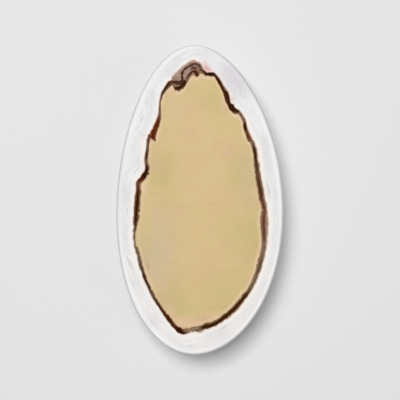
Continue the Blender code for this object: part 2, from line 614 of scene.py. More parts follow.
@dataclass(frozen=True)
class SugarFinish(Finish):
    """Panned sugar: a satin white glaze outside, and fine chalky coats where it's cut.

    Attributes:
        glaze, painted_edge_shade: the outside, and the grey painted shade over its rounded edge, fading
            down the back.
        chalk, shade, fleck, last_coat: the cut coats, their darker parts, pits and outermost coat.
        cream, dull, stain: tints in places, the last where the skin has run.
        warm, soaked: the sugar near the skin, and right beside it.
        coats, blotches, grain, clouds, crumbs: the cut's noise.
        swirls: the glaze's noise.
        fleck_depth: how deep the pits are, in millimetres.
        glaze_roughness, chalk_roughness: how rough the outside and the cut are.
    """

    glaze: Colour = screen_colour(243, 243, 244)
    painted_edge_shade: Colour = screen_colour(217, 217, 221)
    chalk: Colour = screen_colour(235, 235, 235)
    shade: Colour = screen_colour(217, 217, 217)
    fleck: Colour = screen_colour(193, 194, 195)
    last_coat: Colour = screen_colour(234, 234, 235)
    cream: Colour = screen_colour(245, 236, 226)
    dull: Colour = screen_colour(208, 203, 208)
    stain: Colour = screen_colour(214, 160, 155)
    warm: Colour = screen_colour(246, 237, 230)
    soaked: Colour = screen_colour(213, 191, 177)
    coats: Speckle = Speckle(0.13, height=0.007, detail=3.0)
    blotches: Speckle = Speckle(0.3)
    grain: Speckle = Speckle(0.07, height=0.005)
    clouds: Speckle = Speckle(1.6)
    crumbs: Speckle = Speckle(0.28, height=0.012)
    swirls: Speckle = Speckle(0.7, height=0.002)
    fleck_depth: float = 0.015
    glaze_roughness: float = 0.36
    chalk_roughness: float = 0.8

    def material(self) -> bpy.types.Material:
        """Builds the material.

        Returns:
            The material.
        """
        graph = Graph("white_sugar")
        cut, across, beside = graph.stored("cut"), graph.stored("across"), graph.stored("beside")
        place = graph.stored_place("coats")
        coats, blotches = graph.noise(self.coats, place), graph.noise(self.blotches, place)
        grain, clouds = graph.noise(self.grain), graph.noise(self.clouds)
        # Layered coats with small pits, smoother in the last coat, and painted shade greying the rounded
        # edge.
        shade = (coats * 0.8 + grain * 0.5 + clouds * 0.8 + blotches * 0.6).rise(0.75, -0.75)
        chalk = graph.blend(shade, self.chalk, self.shade)
        flecks = (coats * 0.6 + blotches).rise(0.2, 0.45)
        flecks = flecks * across.rise(0.05, 0.25) * across.rise(0.85, 0.7)
        chalk = graph.blend(flecks * 0.75, chalk, self.fleck)
        last = (across + blotches * 0.1).rise(0.6, 0.74) * (across + clouds * 0.03).rise(0.97, 0.84)
        chalk = graph.blend(last, chalk, self.last_coat)
        # Painted shade: grey over the rounded edge, standing in for the edge turning away from the light.
        chalk = graph.blend((across + clouds * 0.03).rise(0.8, 0.94), chalk, self.painted_edge_shade)
        # Tints from the skin beside it, and the spots.
        chalk = graph.blend(graph.stored("creamed") * (0.7 + 0.6 * clouds), chalk, self.cream)
        warm = (beside + blotches * 0.25 + clouds * 0.2).rise(0.6, 0.1)
        chalk = graph.blend(warm * 0.85, chalk, self.warm)
        soaked = (beside + grain * 0.05 + clouds * 0.06).rise(0.2, 0.02)
        chalk = graph.blend(soaked * 0.7, chalk, self.soaked)
        chalk = graph.blend(graph.stored("dulled") * (0.8 + 0.5 * blotches), chalk, self.dull)
        chalk = graph.blend(graph.stored("stain") * (0.85 + 0.7 * coats), chalk, self.stain)
        # Painted shade on the glaze: grey by the cut edge, fading out down the back.
        glaze = graph.blend(graph.stored("under").rise(3.4, 1.3) * 0.85, self.glaze, self.painted_edge_shade)
        relief = grain * self.grain.height + coats * self.coats.height - flecks * self.fleck_depth
        relief = cut * (relief + graph.noise(self.crumbs) * self.crumbs.height)
        relief = relief + (1 - cut) * graph.noise(self.swirls) * self.swirls.height
        roughness = self.glaze_roughness + cut * (self.chalk_roughness - self.glaze_roughness)
        return graph.finish(graph.blend(cut, glaze, chalk), roughness, relief)


@dataclass(frozen=True)
class SkinFinish(Finish):
    """The almond's papery skin: nearly black in its middle, red-brown, mauve or paler beside it.

    Attributes:
        dark, dark_red, dark_mauve: its middle.
        brown, red: beside the middle.
        pale, mauve: beside it where the skin is pale.
        thin, thinnest: its outer parts, where the light comes through.
        fibres, patches: its noise.
        roughness, shine: how rough it is, and how strongly it reflects.
    """

    dark: Colour = screen_colour(48, 21, 4)
    dark_red: Colour = screen_colour(86, 36, 10)
    dark_mauve: Colour = screen_colour(84, 47, 36)
    brown: Colour = screen_colour(112, 82, 50)
    red: Colour = screen_colour(124, 68, 38)
    pale: Colour = screen_colour(156, 138, 116)
    mauve: Colour = screen_colour(184, 154, 142)
    thin: Colour = screen_colour(150, 124, 90)
    thinnest: Colour = screen_colour(196, 176, 160)
    fibres: Speckle = Speckle(0.09, height=0.012, detail=3.0)
    patches: Speckle = Speckle(0.8)
    roughness: float = 0.65
    shine: float = 0.0

    def material(self) -> bpy.types.Material:
        """Builds the material.

        Returns:
            The material.
        """
        graph = Graph("brown_skin")
        fibres, patches = graph.noise(self.fibres), graph.noise(self.patches)
        core, pale, red = graph.stored("core"), graph.stored("pale"), graph.stored("red")
        mauve = graph.stored("mauve") * (0.85 + 0.3 * fibres)
        redness = (red + patches * 0.5).rise(0.0, 0.9)
        # The sides of the line, redder or paler by place.
        light = graph.blend(mauve, self.pale, self.mauve)
        side = graph.blend(redness, self.brown, self.red)
        side = graph.blend(pale * (0.85 + 0.6 * fibres + 0.6 * patches), side, light)
        # Its dark middle, which fades where the skin is pale.
        dark = graph.blend(redness, self.dark, self.dark_red)
        dark = graph.blend(mauve, dark, self.dark_mauve)
        dark = graph.blend((pale * 0.9 + patches * 0.45).rise(0.08, 0.85) * 0.6, dark, side)
        # Its outer parts, thinned.
        thin = graph.blend(pale, self.thin, self.thinnest)
        thinned = (core + fibres * 0.1 + patches * 0.06).rise(0.2, 0.42) * (1 - red * 0.7)
        side = graph.blend(thinned * (1 - mauve) * 0.4, side, thin)
        outer = (graph.stored("outer") + fibres * 0.08).rise(0.4, 0.0)
        side = graph.blend(outer * mauve * 0.5, side, self.thinnest)
        bold = pale.rise(0.0, -1.0)
        colour = graph.blend((core - bold * 0.35 + fibres * 0.08).rise(0.05, 0.22), dark, side)
        return graph.finish(colour, self.roughness, fibres * self.fibres.height, self.shine)


@dataclass(frozen=True)
class FleshFinish(Finish):
    """Cut almond: dull tan with faint clouds, fine grain and a paler, pinker lip by the skin.

    Attributes:
        tan, olive, pink: the middle, and its faint clouds.
        grey, green, blush: tints in places.
        lip, torn: near the skin, and right beside it.
        line: the faint broken line inside the lip.
        clouds, spots, crumbs, grain: its noise.
        knife: the knife's marks, stretched along a direction.
        knife_stretch, knife_turn: how much longer than wide they are, and their turn in degrees.
        rings, breaks: noise that runs along the skin.
        line_depth: how deep the line is, in millimetres.
        roughness, roughness_change: how rough it is, and how much the spots change that.
        shine: how strongly it reflects.
    """

    tan: Colour = screen_colour(207, 180, 127)
    olive: Colour = screen_colour(193, 173, 114)
    pink: Colour = screen_colour(207, 173, 136)
    grey: Colour = screen_colour(197, 178, 151)
    green: Colour = screen_colour(194, 178, 114)
    blush: Colour = screen_colour(223, 184, 157)
    lip: Colour = screen_colour(227, 196, 161)
    torn: Colour = screen_colour(170, 136, 98)
    line: Colour = screen_colour(180, 148, 104)
    clouds: Speckle = Speckle(2.6)
    spots: Speckle = Speckle(1.1, height=0.01, detail=3.0)
    crumbs: Speckle = Speckle(0.3, height=0.008)
    grain: Speckle = Speckle(0.1, height=0.004)
    knife: Speckle = Speckle(0.12, height=0.007, detail=3.0)
    knife_stretch: float = 14.0
    knife_turn: float = 12.0
    rings: Speckle = Speckle(0.2)
    breaks: Speckle = Speckle(0.9)
    line_depth: float = 0.01
    roughness: float = 0.55
    roughness_change: float = 0.1
    shine: float = 0.35

    def material(self) -> bpy.types.Material:
        """Builds the material.

        Returns:
            The material.
        """
        graph = Graph("almond_flesh")
        clouds, spots = graph.noise(self.clouds), graph.noise(self.spots)
        crumbs, grain = graph.noise(self.crumbs), graph.noise(self.grain)
        stretched = graph.stretched((self.knife_stretch, 1.0, 1.0), self.knife_turn)
        knife = graph.noise(self.knife, stretched)
        along = graph.stored_place("rings")
        rings, breaks = graph.noise(self.rings, along), graph.noise(self.breaks, along)
        inside, near = graph.stored("inside"), graph.stored("near")
        # Faint clouds all over.
        olive = (clouds + grain * 0.2).rise(0.35, -0.5) * inside.rise(5.5, 2.0)
        colour = graph.blend(olive, self.tan, self.olive)
        colour = graph.blend((spots + grain * 0.3 + knife * 0.2).rise(-0.1, 0.8), colour, self.pink)
        # The tints in places.
        colour = graph.blend(graph.stored("greyed") * (0.8 + 0.5 * spots), colour, self.grey)
        colour = graph.blend(graph.stored("greened") * (0.8 + 0.5 * clouds), colour, self.green)
        pinked = graph.stored("pinked") * (0.9 + 0.8 * spots + 0.7 * crumbs)
        colour = graph.blend(pinked, colour, self.blush)
        # From the inside out: a broken line, the lip, and the torn edge.
        line = inside.rise(0.3, 0.5) * inside.rise(0.95, 0.6) * (rings + spots * 0.6).rise(0.1, 0.6)
        line = line + (crumbs - inside * 0.1).rise(0.25, 0.6) * 0.5
        colour = graph.blend(line * 0.5, colour, self.line)
        lip = (near + rings * 0.2 + spots * 0.3).rise(0.55, 0.1)
        lip = lip * (0.3 + 0.7 * (breaks + clouds * 0.5).rise(-0.35, 0.3))
        colour = graph.blend(lip, colour, self.lip)
        torn = (near + crumbs * 0.06 + spots * 0.08).rise(0.24, 0.04)
        colour = graph.blend(torn * 0.6, colour, self.torn)
        relief = grain * self.grain.height + knife * self.knife.height - line * self.line_depth
        relief = relief + crumbs * self.crumbs.height + spots * self.spots.height
        roughness = self.roughness + self.roughness_change * spots
        return graph.finish(colour, roughness, relief, self.shine)


@dataclass(frozen=True)
class Tear:
    """How the torn skin lies at an angle round the hollow.

    Attributes:
        angle: degrees round the hollow.
        start: how far inside the hollow's smooth wall the skin starts, in millimetres.
        core: how far inside that wall its dark middle lies.
        end: how far inside that wall it ends.
        pale: how pale it is beside its dark middle, up to 1; below 0 the dark middle is broader.
    """

    angle: float
    start: float
    core: float
    end: float
    pale: float


TEARS = tuple(
    Tear(*measures)
    for measures in (
        # Up the right side.
        (0, -0.03, 0.32, 0.55, 0.4), (6, 0.03, 0.33, 0.51, 0.3), (10.5, 0.0, 0.31, 0.52, 0.25),
        (16, -0.1, 0.17, 0.36, 0.4), (20, -0.21, 0.02, 0.21, 0.15), (22.5, -0.24, 0.0, 0.18, 0.5),
        (24.6, -0.08, 0.06, 0.2, 0.8), (25.4, -0.01, 0.22, 0.45, 0.5), (27, 0.13, 0.34, 0.52, 0.4),
        (29.3, 0.13, 0.36, 0.52, 0.5), (31.4, 0.02, 0.36, 0.62, -0.5),
        (33.4, -0.07, 0.13, 0.31, 0.9), (35, 0.07, 0.22, 0.34, 1.0),
        # The step on the right.
        (38, 0.08, 0.21, 0.34, 0.9), (39.6, 0.14, 0.34, 0.57, 0.0), (41.6, -0.06, 0.22, 0.52, -0.4),
        (43, -0.19, 0.18, 0.45, -0.8), (45.5, 0.24, 0.5, 0.8, -0.5), (49, -0.12, 0.4, 0.92, -0.7),
        (52.5, 0.0, 0.34, 0.57, -0.2),
        # Up to the pointed end.
        (58.4, 0.1, 0.36, 0.6, -0.2), (62, -0.02, 0.18, 0.38, 0.0), (66, -0.02, 0.13, 0.29, -0.3),
        (70.3, -0.05, 0.13, 0.3, 0.2), (73, 0.04, 0.2, 0.38, 0.7),
        # The tuft by the pointed end.
        (76.5, -0.1, 0.36, 0.8, 0.5), (80, -0.22, 0.95, 1.18, 0.8), (83.5, -0.3, 0.75, 1.2, 1.0),
        (87, -0.32, 0.95, 1.16, 1.0), (90, -0.34, 1.0, 1.15, 0.9), (95, -0.2, 1.22, 1.38, 0.9),
        (99, -0.1, 1.5, 1.7, 0.9), (105, -0.1, 1.62, 1.82, 1.0), (111, -0.08, 1.44, 1.66, 1.0),
        (115.5, -0.06, 1.1, 1.4, 0.8), (117, -0.1, 0.8, 1.22, 0.5),
        # Down the left.
        (117.6, 0.12, 0.34, 0.5, 0.6), (120, 0.06, 0.28, 0.51, 0.1), (126.5, 0.11, 0.27, 0.48, 0.2),
        (134, 0.06, 0.14, 0.25, 0.7),
        # The flag on the left.
        (138.5, 0.4, 0.66, 1.0, 0.6), (142, 0.3, 0.66, 0.96, -0.1), (146, 0.22, 0.5, 0.82, -0.1),
        (149, 0.29, 0.62, 0.98, -0.3), (150.8, 0.37, 0.8, 1.33, -0.4),
        (151.5, 0.23, 0.5, 0.94, 0.1),
        # The left side, with its notch.
        (152.2, 0.08, 0.26, 0.41, 0.5), (155, -0.01, 0.12, 0.31, 0.6),
        (160.3, 0.08, 0.26, 0.44, 0.3), (162.6, 0.09, 0.25, 0.44, 0.8),
        (163.5, 0.19, 0.4, 0.74, 0.7), (164.6, 0.21, 0.4, 0.66, 0.0), (170, 0.02, 0.24, 0.47, -0.4),
        (173.2, -0.12, 0.03, 0.22, 0.5), (176, 0.04, 0.26, 0.5, 0.3), (182, 0.12, 0.36, 0.62, -0.2),
        (189, 0.13, 0.36, 0.59, 0.2), (192.5, 0.1, 0.24, 0.4, 0.5),
        # Down to the blunt end.
        (195, 0.09, 0.14, 0.19, 1.0), (198.5, 0.02, 0.07, 0.13, 1.0), (200.5, 0.01, 0.05, 0.1, 1.0),
        (204, 0.08, 0.23, 0.37, 0.6), (210, 0.08, 0.22, 0.39, 0.75), (219, 0.03, 0.18, 0.35, 0.3),
        (230, 0.07, 0.21, 0.35, 0.6), (240, 0.07, 0.22, 0.4, 0.3), (251, -0.03, 0.16, 0.37, -0.4),
        # The blunt end.
        (257, 0.05, 0.27, 0.51, 0.0), (261.5, 0.16, 0.4, 0.7, -0.8), (265, 0.14, 0.3, 0.72, 0.3),
        (269.5, 0.1, -0.15, 0.55, 0.3), (273.5, 0.07, -0.05, 0.45, 0.3),
        (277, -0.04, 0.32, 0.5, 0.7),
        # Back up the right side.
        (281, 0.06, 0.36, 0.6, -0.2), (288, 0.0, 0.23, 0.43, 0.05), (295, 0.07, 0.33, 0.55, -0.1),
        (303.5, -0.02, 0.27, 0.52, 0.05), (312, 0.0, 0.24, 0.44, 0.1),
        (314, -0.04, 0.16, 0.32, 0.35), (322, -0.02, 0.17, 0.35, 0.75),
        (331, -0.05, 0.22, 0.5, 0.5), (338.5, -0.04, 0.17, 0.34, 0.85),
        (343, -0.04, 0.28, 0.5, 0.5), (348.5, -0.05, 0.36, 0.62, 0.4),
        (352.5, -0.08, 0.3, 0.56, 0.4), (355.5, -0.05, 0.16, 0.34, 0.4),
    )
)


@dataclass(frozen=True)
class Outlines:
    """The outlines of the layers in the cut plane, in millimetres.

    Attributes:
        sugar, hollow: the outside of the sugar, and its hollow before its swells.
        keel: the point over which every level section is centred.
        hollow_swells: the hollow's bumps and dents.
        tears: how the torn skin lies, from 0 to 360 degrees.
        wall_ragged, skin_ragged: the fine unevenness of the skin's two edges.
        seam: the width of the seam at each side of the skin.
        thinnest: the least width of the skin.
    """

    sugar: Egg = Egg(length=32.0, width=17.3, taper=0.08, pinch=1.03, bow=0.53, x=-0.5, y=0.0)
    hollow: Egg = Egg(length=27.3, width=13.2, taper=0.31, pinch=1.06, bow=0.98, x=-0.92, y=0.08)
    keel: tuple[float, float] = (0.0, -1.0)
    hollow_swells: tuple[Swell, ...] = (
        Swell(38, 0.77, 12),
        Swell(43, -0.54, 2.2),
        Swell(60, 0.77, 5),
        Swell(77, 0.32, 2.1),
        Swell(84, 0.28, 4.5),
        Swell(128.5, 0.62, 7.4),
        Swell(151, 0.32, 2.8),
        Swell(167, -0.35, 3),
        Swell(183, 0.19, 14),
        Swell(231, -1.03, 19.6),
        Swell(262, 0.68, 4.9),
        Swell(312, -0.13, 15),
    )
    tears: tuple[Tear, ...] = TEARS
    wall_ragged: Ripples = Ripples(wavelength=0.7, height=0.03, seed=12)
    skin_ragged: Ripples = Ripples(wavelength=0.4, height=0.035, seed=21)
    seam: float = 0.02
    thinnest: float = 0.06

    def sugar_edge(self, turn: np.ndarray) -> np.ndarray:
        """The outer edge of the sugar.

        Args:
            turn: angles round it, in radians.

        Returns:
            x, y at each angle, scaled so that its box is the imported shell's.
        """
        points = self.sugar.outline(turn)
        whole = self.sugar.outline(np.linspace(0, 2 * math.pi, ALL_ROUND + 1))
        low, high = (np.array(corner)[:2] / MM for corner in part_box("sugar_shell"))
        middle = (whole.min(0) + whole.max(0)) / 2
        return middle + (points - middle) * (high - low) / (whole.max(0) - whole.min(0))

    def inside(self, turn: np.ndarray, inset: np.ndarray | float) -> np.ndarray:
        """A line inside the hollow's smooth wall, which is its egg moved out by its swells.

        Args:
            turn: angles round it, in radians.
            inset: how far inside the wall it runs, towards the keel, in millimetres.

        Returns:
            x, y at each angle.
        """
        arms = self.hollow.outline(turn) - self.keel
        lengths = np.linalg.norm(arms, axis=-1)
        grown = swell_sum(turn, self.hollow_swells) - inset
        return self.keel + arms * (1 + grown / lengths)[..., None]

    def torn(self, turn: np.ndarray, part: str) -> np.ndarray:
        """One measure of the torn skin, straight from each tear to the next.

        Args:
            turn: angles round the hollow, in radians.
            part: the measure's name.

        Returns:
            It at each angle.
        """
        angles = [tear.angle for tear in self.tears]
        measures = [getattr(tear, part) for tear in self.tears]
        return np.interp(np.degrees(turn), angles, measures, period=360)

    def _uneven(self, turn: np.ndarray, ripples: Ripples) -> np.ndarray:
        """Ripples along the hollow's smooth wall."""
        wall = self.inside(turn, 0.0)
        return ripples.at(np.concatenate([wall, np.zeros((*wall.shape[:-1], 1))], axis=-1))

    def skin_start(self, turn: np.ndarray) -> np.ndarray:
        """How far inside the smooth wall the skin starts."""
        return self.torn(turn, "start") + self._uneven(turn, self.wall_ragged)

    def skin_end(self, turn: np.ndarray) -> np.ndarray:
        """How far inside the smooth wall the skin ends, at least its thinnest past its start."""
        ends = self.torn(turn, "end") + self._uneven(turn, self.skin_ragged)
        return np.maximum(ends, self.skin_start(turn) + self.thinnest)

    def hollow_edge(self, turn: np.ndarray) -> np.ndarray:
        """The sugar's edge against the skin."""
        return self.inside(turn, self.skin_start(turn) - self.seam)

    def skin_outside(self, turn: np.ndarray) -> np.ndarray:
        """The skin's edge against the sugar."""
        return self.inside(turn, self.skin_start(turn))

    def skin_inside(self, turn: np.ndarray) -> np.ndarray:
        """The skin's edge against the almond."""
        return self.inside(turn, self.skin_end(turn))

    def kernel_edge(self, turn: np.ndarray) -> np.ndarray:
        """The almond's edge against the skin."""
        return self.inside(turn, self.skin_end(turn) + self.seam)


def turns(columns: int) -> np.ndarray:
    """Equal angles round an outline, in radians."""
    return np.arange(columns) * 2 * math.pi / columns


def settle(piece: bpy.types.Object, slot: Slot, *nodes: str) -> bpy.types.Object:
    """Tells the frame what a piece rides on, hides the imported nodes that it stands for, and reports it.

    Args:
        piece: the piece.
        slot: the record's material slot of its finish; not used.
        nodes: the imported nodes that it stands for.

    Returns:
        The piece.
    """
    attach(piece, "root")
    if nodes:
        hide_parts(*nodes)
    LOG.info("%s: %d faces", piece.name, len(piece.data.polygons))
    return piece


@dataclass(frozen=True)
class Layer(ABC):
    """A closed piece that stands for one packed layer of the half.

    Attributes:
        outlines: the outlines of all layers.
        plane: the cut plane.
        finish: its looks.
        name: the piece's name.
        node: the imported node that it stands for.
        slot: the record's material slot of its finish.
    """

    outlines: Outlines
    plane: CutPlane
    finish: Finish
    name: ClassVar[str]
    node: ClassVar[str]
    slot: ClassVar[Slot]

    @abstractmethod
    def surface(self) -> Surface:
        """The layer's surface.

        Returns:
            The grid, and what is kept on its vertices.
        """

    def build(self) -> bpy.types.Object:
        """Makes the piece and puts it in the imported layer's place.

        Returns:
            The piece.
        """
        piece = self.plane.close(self.name, *self.surface())
        piece.data.materials.append(self.finish.material())
        return settle(piece, self.slot, self.node)


@dataclass(frozen=True)
class SugarShell(Layer):
    """The sugar shell: its glazed back, rounded edge, cut rim and hollow.

    Sizes are in millimetres.

    Attributes:
        depth, fullness: the back's depth, and the power of its cross-section.
        flat_easing: over how much depth the back eases into the flat on which it rests.
        foot_fade: how high over that flat the dimples have come in.
        edge_reach, edge_fall: how far the rounded edge reaches inwards and down.
        hollow_depth: the hollow's depth.
        columns, back_rows, edge_rows, rim_rows, wall_rows: the grid's columns and rows.
        dimples, dimple_sink: the back's relief, and how far it is sunk.
        cut_relief, coat_relief, rim_sink: the cut's relief, that along its coats, and how far
            both are sunk.
        cut_start: the share of the way across at which the finish is all cut.
        coat_stretch: how many times as long as wide the coats' patterns are.
        stains, dulled, creamed: spots of colour on the cut.
    """

    name = "glazed_sugar_shell"
    node = "sugar_shell"
    slot = Slot.SUGAR
    finish: SugarFinish = SugarFinish()
    depth: float = 6.4
    fullness: float = 2.15
    flat_easing: float = 0.06
    foot_fade: float = 1.0
    edge_reach: float = 0.46
    edge_fall: float = 1.5
    hollow_depth: float = 4.6
    columns: int = 1140
    back_rows: int = 28
    edge_rows: int = 12
    rim_rows: int = 32
    wall_rows: int = 12
    dimples: tuple[Ripples, ...] = (
        Ripples(wavelength=6.0, height=0.05, seed=31),
        Ripples(wavelength=2.4, height=0.006, seed=32),
    )
    dimple_sink: float = 0.09
    cut_relief: tuple[Ripples, ...] = (
        Ripples(wavelength=1.6, height=0.006, seed=33),
        Ripples(wavelength=0.45, height=0.003, seed=34),
    )
    coat_relief: Ripples = Ripples(wavelength=0.32, height=0.008, seed=35)
    rim_sink: float = 0.02
    cut_start: float = 0.96
    coat_stretch: float = 6.0
    stains: tuple[Spot, ...] = (
        Spot(0.62, 13.4, 0.36, 0.8),
        Spot(1.0, 13.2, 0.3, 0.5),
        Spot(0.45, 13.9, 0.42, 0.4),
        Spot(-2.9, 12.75, 0.4, 0.15),
        Spot(3.25, 10.3, 0.28, 0.5),
        Spot(-5.7, 6.6, 0.3, 0.3),
    )
    dulled: tuple[Spot, ...] = (
        Spot(-2.6, 13.1, 0.6, 0.45),
        Spot(0.8, 15.0, 1.3, 0.45, 0.5),
        Spot(4.1, 12.8, 2.2, 1.2),
        Spot(-4.9, -12.3, 0.8, 0.35),
        Spot(2.2, -14.2, 1.6, 0.3, 0.6),
        Spot(-8.0, 1.0, 0.9, 0.35, 4.5),
    )
    creamed: tuple[Spot, ...] = (Spot(0.5, -8.0, 9.0, 0.5),)

    def surface(self) -> Surface:
        """The shell's surface, from the foot up its back, over the rim and down the hollow.

        Its depth eases into the flat underneath. Then each point moves against its normal by the
        dimples on the back, and by the cut's relief on the rim, where they are below their sink.

        Returns:
            The grid, and what is kept on its vertices.
        """
        turn = turns(self.columns)
        keel = np.array(self.outlines.keel)
        outside = self.outlines.sugar_edge(turn)
        inside = self.outlines.hollow_edge(turn)
        wall = np.linalg.norm(inside - outside, axis=-1)
        first = math.asin((self.edge_fall / self.depth) ** (self.fullness / 2))
        falls = np.linspace(math.pi / 2, first, self.back_rows)
        back = bowl(outside, keel, self.depth, self.fullness, falls)
        edge = self._edge(outside, inside, wall, keel)
        start = self.edge_reach / wall
        shares = np.linspace(0, 1, self.rim_rows + 1)[1:]
        rim = span(outside + (inside - outside) * start[:, None], inside, shares)
        falls = np.linspace(0, math.pi / 2, self.wall_rows + 1)[1:]
        hollow = bowl(inside, keel, self.hollow_depth, 2.0, falls)
        grid = np.concatenate([back, edge, rim, hollow])
        grid[..., 2] = -self._eased(-grid[..., 2], self.plane.height)
        across = self._across(start, shares)
        cut = smooth_step(across, 1.0, self.cut_start)
        coats = self._coats(grid, across, wall)
        dimples = sum(r.at(grid) for r in self.dimples) - self.dimple_sink
        relief = sum(r.at(grid) for r in self.cut_relief) + self.coat_relief.at(coats / MM)
        on_back = smooth_step(self.plane.height + grid[..., 2], 0.0, self.foot_fade) * (1 - cut)
        sunk = on_back * np.minimum(dimples, 0)
        sunk += self._on_rim() * np.minimum(relief - self.rim_sink, 0)
        grid = grid + outward(grid) * sunk[..., None]
        grid[..., 2] = np.minimum(grid[..., 2], 0)
        spots = {"stain": self.stains, "dulled": self.dulled, "creamed": self.creamed}
        kept = {key: spotted(grid, group) for key, group in spots.items()}
        kept.update(cut=cut, across=across, beside=across * wall, coats=coats, under=-grid[..., 2])
        return grid, kept

    def _edge(
        self, outside: np.ndarray, inside: np.ndarray, wall: np.ndarray, keel: np.ndarray
    ) -> np.ndarray:
        """The rounded edge: a quarter of an upright oval from the back to the rim.

        Each row lies under the cut by the fall times 1 less the sine of its angle, on the back's
        own form, and goes in from there by the reach times 1 less the cosine.

        Args:
            outside, inside: the rim's two outlines.
            wall: the distance between them.
            keel: the middle of the sections.

        Returns:
            Its rows, without the first.
        """
        angles = np.linspace(0, math.pi / 2, self.edge_rows + 1)[1:]
        sunk = self.edge_fall * (1 - np.sin(angles))
        falls = np.arcsin((sunk / self.depth) ** (self.fullness / 2))
        rows = bowl(outside, keel, self.depth, self.fullness, falls)
        inward = (inside - outside) / wall[:, None]
        rows[..., :2] += inward[None] * (self.edge_reach * (1 - np.cos(angles)))[:, None, None]
        return rows

    def _eased(self, depths: np.ndarray, lowest: float) -> np.ndarray:
        """Depths that ease into the flat on which the half rests.

        Args:
            depths: depths under the cut plane.
            lowest: the flat's depth.

        Returns:
            The depths, none past the flat: what is left of the way shrinks exponentially.
        """
        start = lowest - self.flat_easing
        past = np.maximum(depths - start, 0)
        return np.minimum(depths, start) + self.flat_easing * (1 - np.exp(-past / self.flat_easing))

    def _across(self, start: np.ndarray, shares: np.ndarray) -> np.ndarray:
        """How far across the wall each point is: 0 at the hollow and 1 at the outside and the back.

        Args:
            start: the share of the wall that the rounded edge takes, for each column.
            shares: the rim rows' shares of the rest.

        Returns:
            A number for each row and column.
        """
        angles = np.linspace(0, math.pi / 2, self.edge_rows + 1)[1:]
        edge = 1 - start[None] * (1 - np.cos(angles))[:, None]
        rim = (1 - start)[None] * (1 - shares)[:, None]
        back = np.ones((self.back_rows, self.columns))
        hollow = np.zeros((self.wall_rows, self.columns))
        return np.concatenate([back, edge, rim, hollow])

    def _on_rim(self) -> np.ndarray:
        """1 on the rim's rows and 0 elsewhere, as a column."""
        counts = (self.back_rows + self.edge_rows, self.rim_rows, self.wall_rows)
        return np.repeat([0.0, 1.0, 0.0], counts)[:, None]

    def _coats(self, grid: np.ndarray, across: np.ndarray, wall: np.ndarray) -> np.ndarray:
        """A place, in metres, that changes slowly round the shell and fast across its coats.

        Args:
            grid: the surface.
            across: the share across the wall.
            wall: the wall's width.

        Returns:
            A vector for each row and column.
        """
        slow = grid[..., :2] / self.coat_stretch
        fast = (across * wall[None])[..., None]
        return np.concatenate([slow, fast], axis=-1) * MM


